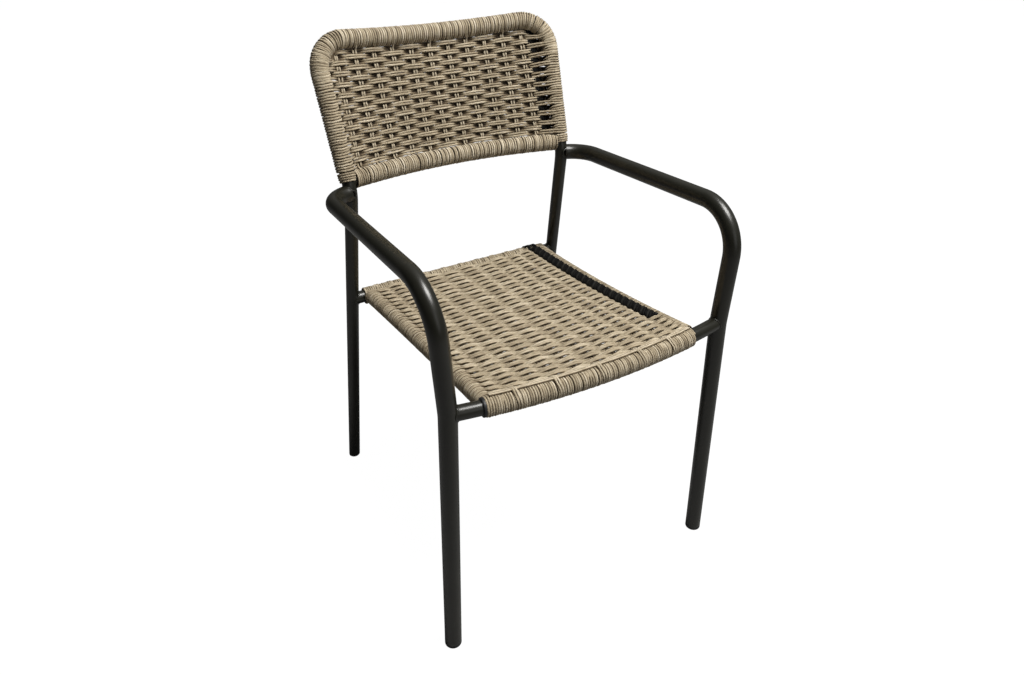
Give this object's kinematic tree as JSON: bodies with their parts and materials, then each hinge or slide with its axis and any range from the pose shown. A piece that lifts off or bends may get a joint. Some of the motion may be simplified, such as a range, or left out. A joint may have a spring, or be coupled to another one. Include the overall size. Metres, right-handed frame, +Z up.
{
  "type": "terrace armchair",
  "caption": "Stacking armchair with a bent tube frame, arms that run into the front legs, and a woven rope seat and back.",
  "frame": {"origin": "on the floor, at the middle of the chair's box", "axes": "+Z up, the front of the chair faces -Y, +X to the right of someone facing the chair's front"},
  "size_m": [0.5318, 0.565, 0.8431],
  "materials": {
    "frame_coat": "satin powder coat",
    "taupe_rope": "twisted synthetic rope",
    "black_rope": "twisted synthetic rope",
    "black_plastic": "matte"
  },
  "bodies": {
    "root": {"back_hoop_tube": "frame_coat", "seat_front_rail": "frame_coat", "seat_rear_rail": "frame_coat", "back_lower_rail": "frame_coat", "arm_and_front_leg_left": "frame_coat", "arm_and_front_leg_right": "frame_coat", "seat_side_rail_left": "frame_coat", "seat_side_rail_right": "frame_coat", "foot_glide_front_left": "black_plastic", "foot_glide_front_right": "black_plastic", "foot_glide_rear_left": "black_plastic", "foot_glide_rear_right": "black_plastic", "back_winding_top": "taupe_rope", "back_winding_lower": "taupe_rope", "back_winding_left": "taupe_rope", "back_winding_right": "taupe_rope", "back_corner_wrap_left": "taupe_rope", "back_corner_wrap_right": "taupe_rope", "seat_winding_front": "taupe_rope", "seat_winding_rear": "taupe_rope", "seat_winding_left": "taupe_rope", "seat_winding_right": "taupe_rope", "seat_corner_wrap_front_left": "taupe_rope", "seat_corner_wrap_rear_left": "taupe_rope", "seat_corner_wrap_rear_right": "taupe_rope", "front_rail_collar_left": "black_plastic", "back_weave": "taupe_rope", "seat_weave": "taupe_rope", "seat_lacing_black": "black_rope", "front_edge_binding": "taupe_rope"}
  },
  "joints": []
}
